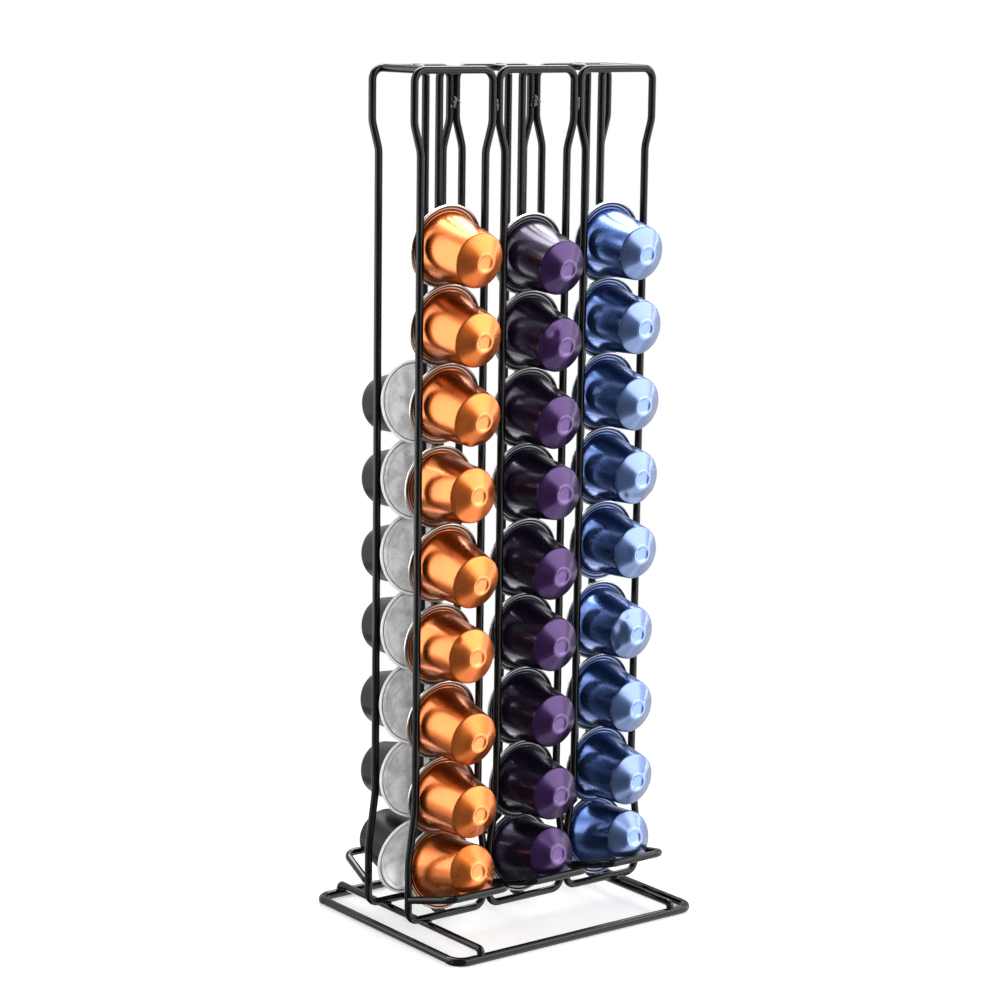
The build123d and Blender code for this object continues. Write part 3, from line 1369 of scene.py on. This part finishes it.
            # Rolled edge, top and underside: partly bare rubbed metal, partly painted highlight.
            edge = ramp(r, *(self.edge_zone if z > self.under_to else self.under_zone))
            zones["cap"].append(ramp(z, *self.cap_zone) + nose)
            zones["rim"].append(max(self.ridge_highlight * ridge, self.nose_highlight * nose, edge))
            # Flange web inside the rim, painted dark as painted shade.
            zones["seal"].append(ramp(r, *self.seal_zone) if on_flange else 0.0)
        for zone, values in zones.items():
            mark_points(mesh, zone, "FLOAT", values)

    def cups(self) -> bpy.types.Collection:
        """Make cups in each state."""
        return self.shelf("cup_shapes", self.cup_section(), DENTS)

    def lids(self) -> bpy.types.Collection:
        """Make lids, one for each state of the cup."""
        return self.shelf("lid_shapes", self.lid_section(), {})

    def shelf(
        self, name: str, section: Sequence[Pair], dents: dict[PodShape, tuple[Dent, ...]]
    ) -> bpy.types.Collection:
        """Make one source shape for each state of a pod.

        Args:
            name: The collection's name.
            section: Radius and height of each ring.
            dents: Knocks of the states that have any.

        Returns:
            The shapes in the order of PodShape, which are deleted once the pods are made.
        """
        shapes = bpy.data.collections.new(name)
        bpy.context.scene.collection.children.link(shapes)
        for shape in PodShape:
            mesh = self.lathe(f"{name}_{shape.value}", section, dents.get(shape, ()))
            shapes.objects.link(bpy.data.objects.new(mesh.name, mesh))
        return shapes

    def clear(self, shapes: bpy.types.Collection) -> None:
        """Delete the source shapes once the pods are made.

        Args:
            shapes: The collection to delete.
        """
        for source in list(shapes.objects):
            mesh = source.data
            bpy.data.objects.remove(source)
            bpy.data.meshes.remove(mesh)
        bpy.data.collections.remove(shapes)


@dataclass
class PodPlace:
    """Where one pod's rim is and which way its nose points."""

    rim: Vector
    nose: Vector


@dataclass
class PodColumn:
    """The pods of one column: a stack and the pod on top of it."""

    colour: PodColour
    trees: GeometryTrees
    shapes: PodShapes
    cups: bpy.types.Collection
    lids: bpy.types.Collection
    lacquer: bpy.types.Material
    foil: bpy.types.Material
    grounds: bpy.types.Material
    knocked: dict[int, tuple[PodShape, float]]
    spin: float = 0.7
    merge_gap: float = 1e-6

    def build(self, nodes: dict[str, bpy.types.Object]) -> list[bpy.types.Object]:
        """Make the column's cups and lids, and dress its coffee.

        Args:
            nodes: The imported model's nodes by name.

        Returns:
            The finished pieces.
        """
        name = self.colour.value
        stack = self.places(nodes[f"{name}_stack_lids"].data)
        top = self.places(nodes[f"{name}_top_lid"].data)
        cup = (self.cups, self.lacquer, f"{name}_cup")
        lid = (self.lids, self.foil, "lid_foil")
        rows = (
            ("stack_shells", cup, stack, 0, "stack_cups", "stack"),
            ("stack_foils", lid, stack, 0, "stack_lids", "stack"),
            ("top_shell", cup, top, len(stack), "top_cup", "top_pod"),
            ("top_foil", lid, top, len(stack), "top_lid", "top_pod"),
        )
        pieces = []
        for label, (shapes, finish, slot), places, first, node, body in rows:
            piece = self.row(f"{name}_{label}", shapes, finish, places, first)
            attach(piece, f"{name}_{body}")
            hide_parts(f"{name}_{node}")
            pieces.append(piece)
        for node in (f"{name}_stack_coffee", f"{name}_top_coffee"):
            nodes[node].data.materials.clear()
            nodes[node].data.materials.append(self.grounds)
            pieces.append(nodes[node])
        return pieces

    def places(self, lids: bpy.types.Mesh) -> list[PodPlace]:
        """Read the pods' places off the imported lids, from the lowest up.

        Args:
            lids: The node's mesh, with one disc for each pod.

        Returns:
            Each pod's place.
        """
        discs = bmesh.new()
        discs.from_mesh(lids)
        bmesh.ops.remove_doubles(discs, verts=discs.verts, dist=self.merge_gap)
        waiting = set(discs.verts)
        found = []
        while waiting:
            reach = [waiting.pop()]
            island = []
            while reach:
                vertex = reach.pop()
                island.append(vertex.co.copy())
                others = {edge.other_vert(vertex) for edge in vertex.link_edges} & waiting
                waiting -= others
                reach += others
            found.append(self.place(np.array(island)))
        discs.free()
        return sorted(found, key=lambda place: place.rim.z)

    def place(self, disc: np.ndarray) -> PodPlace:
        """Find the rim and the nose's direction of the pod behind one lid.

        Args:
            disc: The lid's points.

        Returns:
            The pod's place.
        """
        centre = (disc.min(axis=0) + disc.max(axis=0)) / 2
        axis = np.linalg.svd(disc - centre)[2][2]
        nose = Vector(axis * np.sign(axis[1] * centre[1]))
        up = (self.shapes.web_half + self.shapes.lid_t / 2) * MM
        return PodPlace(Vector(centre) + nose * up, nose)

    def row(
        self,
        name: str,
        shapes: bpy.types.Collection,
        finish: bpy.types.Material,
        places: Sequence[PodPlace],
        first: int,
    ) -> bpy.types.Object:
        """Set one shape on each place.

        Args:
            name: The piece's name.
            shapes: The source shapes.
            finish: The piece's material.
            places: Where the shapes go.
            first: Number of the lowest of them in the column.

        Returns:
            The piece, as one plain mesh.
        """
        turns: list[float] = []
        picks: list[int] = []
        for number, place in enumerate(places, start=first):
            shape, spin = self.knocked.get(number, (PodShape.SOUND, self.spin * number))
            tilt = math.atan2(-place.nose.y, place.nose.z)
            turned = Matrix.Rotation(tilt, 3, "X") @ Matrix.Rotation(spin, 3, "Z")
            turns += turned.to_euler("XYZ")
            picks.append(shape.value)
        mesh = bpy.data.meshes.new(name)
        mesh.from_pydata([place.rim for place in places], [], [])
        mark_points(mesh, "nose_turn", "FLOAT_VECTOR", turns)
        mark_points(mesh, "shape", "INT", picks)
        piece = add_object(name, mesh)
        run_tree(piece, self.trees.rows, {"Shapes": shapes, "Finish": finish})
        return piece


@dataclass(frozen=True)
class Softbox:
    """One soft lamp of the studio, which lights matt surfaces and isn't mirrored."""

    name: str
    place: Point
    aim: Point
    size: Pair
    power: float

    def build(self) -> None:
        """Hang the lamp and turn it to its aim."""
        lamp = bpy.data.lights.new(self.name, "AREA")
        lamp.shape = "RECTANGLE"
        lamp.size, lamp.size_y = self.size
        lamp.energy = self.power
        obj = bpy.data.objects.new(self.name, lamp)
        bpy.context.scene.collection.objects.link(obj)
        way = Vector(self.aim) - Vector(self.place)
        obj.location = self.place
        obj.rotation_euler = way.to_track_quat("-Z", "Y").to_euler()
        obj.visible_camera = False
        obj.visible_glossy = False


@dataclass(frozen=True)
class MirrorCard:
    """A curved, evenly glowing card round the set that only shiny surfaces show.

    Its turns run in degrees from +X towards +Y, and its heights are degrees above the
    horizon, both seen from its centre.
    """

    name: str
    turns: Pair
    heights: Pair
    tone: float
    radius: float = 2.4
    centre: Point = (0.0, 0.0, 0.25)
    upright: bool = False
    steps: int = 12

    def build(self) -> bpy.types.Object:
        """Hang the card.

        Returns:
            The card.
        """
        across = self.steps + 1
        points: list[Point] = []
        for height in np.radians(np.linspace(*self.heights, across)):
            for turn in np.radians(np.linspace(*self.turns, across)):
                way = Vector((math.cos(turn), math.sin(turn), math.tan(height)))
                if not self.upright:
                    way.normalize()
                points.append(tuple(Vector(self.centre) + self.radius * way))
        starts = [row * across + n for row in range(self.steps) for n in range(self.steps)]
        faces = [(at, at + 1, at + across + 1, at + across) for at in starts]
        mesh = bpy.data.meshes.new(self.name)
        mesh.from_pydata(points, [], faces)
        material = bpy.data.materials.new(self.name)
        lay = fresh_layout(material)
        glow = lay.put("ShaderNodeEmission", {"Strength": self.tone})
        lay.put("ShaderNodeOutputMaterial", {"Surface": glow})
        mesh.materials.append(material)
        card = add_object(self.name, mesh)
        card.visible_camera = False
        card.visible_diffuse = False
        card.visible_shadow = False
        card.visible_transmission = False
        return card


@dataclass
class Studio:
    """Pale floor, white surroundings, soft lamps, mirror cards and the camera."""

    fill: float = 0.5
    floor_r: float = 2.4
    floor_sides: int = 96
    floor_tones: tuple[Colour, Colour] = ((0.86, 0.86, 0.86), (0.8428, 0.8428, 0.8428))
    floor_mottle: float = 6.0
    floor_lift: float = 0.46
    floor_fade: Pair = (0.1, 0.32)
    camera_at: Point = (-0.7466, -0.9730, 0.4160)
    azimuth: float = math.radians(-37.312)
    pitch: float = math.radians(10.437)
    roll: float = math.radians(0.782)
    lens: float = 100.02
    sensor: float = 36.0
    clip: Pair = (0.01, 50.0)
    softboxes: tuple[Softbox, ...] = (
        Softbox("key_box", (1.25, -1.35, 0.8), (0.0, 0.0, 0.2), (1.5, 1.7), 18.0),
        Softbox("back_box", (0.77, 1.0, 1.5), (0.0, 0.0, 0.3), (0.9, 0.9), 10.0),
        Softbox("left_box", (-1.23, 1.0, 0.5), (0.0, 0.0, 0.25), (0.9, 1.1), 7.0),
        Softbox("front_fill", (-1.25, -1.5, 0.7), (0.0, 0.0, 0.2), (1.0, 1.0), 20.0),
    )
    cards: tuple[MirrorCard, ...] = (
        MirrorCard("key_card", (-92.0, -12.0), (14.0, 43.0), 4.2),
        MirrorCard("low_key_card", (-95.0, -15.0), (-60.0, 14.0), 2.0),
        MirrorCard("ground_card", (-95.0, 25.0), (-88.0, -60.0), 1.1),
        MirrorCard("side_card", (-15.0, 25.0), (-60.0, 37.0), 1.0),
        MirrorCard("side_strip", (-8.5, -5.0), (-30.0, 35.0), 8.0, 2.3),
        MirrorCard("grey_card", (25.0, 62.0), (-40.0, 27.0), 0.5),
        MirrorCard("glint_card", (38.0, 56.0), (27.0, 39.0), 4.0),
        MirrorCard("sky_card", (15.0, 116.0), (39.0, 88.0), 11.0),
        MirrorCard(
            "left_card", (121.0, 172.0), (-22.0, 50.0), 3.2, 0.36, (-0.046, -0.02, 0.2), True
        ),
        MirrorCard("low_strip", (56.0, 116.0), (-50.0, -38.0), 3.0),
        MirrorCard("back_card", (62.0, 116.0), (-38.0, -26.0), 0.3),
        MirrorCard("low_left_card", (116.0, 172.0), (-50.0, -24.0), 0.3),
        MirrorCard("low_dark_card", (25.0, 172.0), (-88.0, -50.0), 0.06),
        MirrorCard("dark_card", (172.0, 265.0), (-88.0, 88.0), 0.15),
        MirrorCard("left_strip", (183.5, 186.5), (-30.0, 30.0), 6.0, 2.3),
    )

    def build(self) -> None:
        """Set up the whole studio."""
        scene = bpy.context.scene
        scene.view_settings.view_transform = "Standard"
        self.surroundings(scene)
        self.floor()
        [card.build() for card in self.cards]
        for softbox in self.softboxes:
            softbox.build()
        self.camera(scene)

    def surroundings(self, scene: bpy.types.Scene) -> None:
        """Put up a white world, as the camera and metal see it, with an even fill light.

        Args:
            scene: The scene to light.
        """
        scene.world = bpy.data.worlds.new("white_studio")
        lay = fresh_layout(scene.world)
        level = lay.remap(shown_rays(lay), self.fill, 1.0)
        white = lay.put("ShaderNodeBackground", {"Color": (1.0, 1.0, 1.0), "Strength": level})
        lay.put("ShaderNodeOutputWorld", {"Surface": white})

    def floor(self) -> bpy.types.Object:
        """Lay a round pale floor that fades into the white behind it.

        Returns:
            The floor.
        """
        mesh = bpy.data.meshes.new("pale_floor")
        disc = bmesh.new()
        bmesh.ops.create_circle(
            disc, cap_ends=True, segments=self.floor_sides, radius=self.floor_r
        )
        disc.to_mesh(mesh)
        disc.free()
        material = bpy.data.materials.new("pale_floor")
        lay = fresh_layout(material)
        place = lay.put("ShaderNodeTexCoord").outputs["Object"]
        mottle = lay.put(
            "ShaderNodeTexNoise", {"Vector": place, "Scale": self.floor_mottle, "Detail": 2.0}
        )
        tone = lay.mix(mottle, *self.floor_tones)
        matt = lay.put("ShaderNodeBsdfDiffuse", {"Color": tone})
        lift = lay.work("MULTIPLY", shown_rays(lay), self.floor_lift)
        glow = lay.put("ShaderNodeEmission", {"Strength": lift})
        pale = lay.put("ShaderNodeAddShader", {0: matt, 1: glow})
        away = lay.put("ShaderNodeVectorMath", {0: place}, operation="LENGTH").outputs["Value"]
        fade = lay.remap(away, 0.0, 1.0, *self.floor_fade)
        fade.interpolation_type = "SMOOTHSTEP"
        clear = lay.put("ShaderNodeBsdfTransparent")
        both = lay.put("ShaderNodeMixShader", {0: fade, 1: pale, 2: clear})
        lay.put("ShaderNodeOutputMaterial", {"Surface": both})
        mesh.materials.append(material)
        floor = add_object("pale_floor", mesh)
        floor.visible_glossy = False
        return floor

    def camera(self, scene: bpy.types.Scene) -> None:
        """Put the camera at the photograph's place and angle.

        Args:
            scene: The scene that looks through it.
        """
        data = bpy.data.cameras.new("photo_camera")
        data.sensor_width = self.sensor
        data.lens = self.lens
        data.clip_start, data.clip_end = self.clip
        az, el, ro = self.azimuth, self.pitch, self.roll
        ahead = Vector(
            (-math.sin(az) * math.cos(el), math.cos(az) * math.cos(el), -math.sin(el))
        )
        level = Vector((math.cos(az), math.sin(az), 0.0))
        over = level.cross(ahead)
        right = level * math.cos(ro) + over * math.sin(ro)
        up = over * math.cos(ro) - level * math.sin(ro)
        camera = bpy.data.objects.new("photo_camera", data)
        turned = Matrix((right, up, -ahead)).transposed().to_4x4()
        camera.matrix_world = Matrix.Translation(Vector(self.camera_at)) @ turned
        scene.collection.objects.link(camera)
        scene.camera = camera


KNOCKED: dict[PodColour, dict[int, tuple[PodShape, float]]] = {
    PodColour.ORANGE: {6: (PodShape.DENTED, -1.38), 3: (PodShape.DENTED, 3.0)},
    PodColour.PURPLE: {7: (PodShape.CREASED, 2.3)},
    PodColour.BLUE: {5: (PodShape.CREASED, -1.65), 3: (PodShape.CREASED, 2.74)},
    PodColour.BLACK: {},
}


def main() -> None:
    """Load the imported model, dress it piece by piece and set up the studio."""
    logging.basicConfig(level=logging.INFO, format="%(name)s: %(message)s")
    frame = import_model()
    trees = GeometryTrees()
    groups = SurfaceGroups()
    coat = WireCoat("black_wire_coat").material(groups)
    weld_coat = WireCoat("black_weld_coat", specular=1.0).material(groups)
    foil = LidFoil("lid_foil").material(groups)
    grounds = GroundCoffee("ground_coffee").material(groups)
    for piece in WireRack(trees, coat, weld_coat).build():
        log.info("rack piece %s: %d faces", piece.name, len(piece.data.polygons))
    shapes = PodShapes()
    cups, lids = shapes.cups(), shapes.lids()
    for colour in PodColour:
        lacquer = LACQUERS[colour].material(groups)
        column = PodColumn(
            colour, trees, shapes, cups, lids, lacquer, foil, grounds, KNOCKED[colour]
        )
        for piece in column.build(frame["nodes"]):
            log.info("%s piece %s: %d faces", colour.value, piece.name, len(piece.data.polygons))
    shapes.clear(cups)
    shapes.clear(lids)
    Studio().build()


if __name__ == "__main__":
    main()
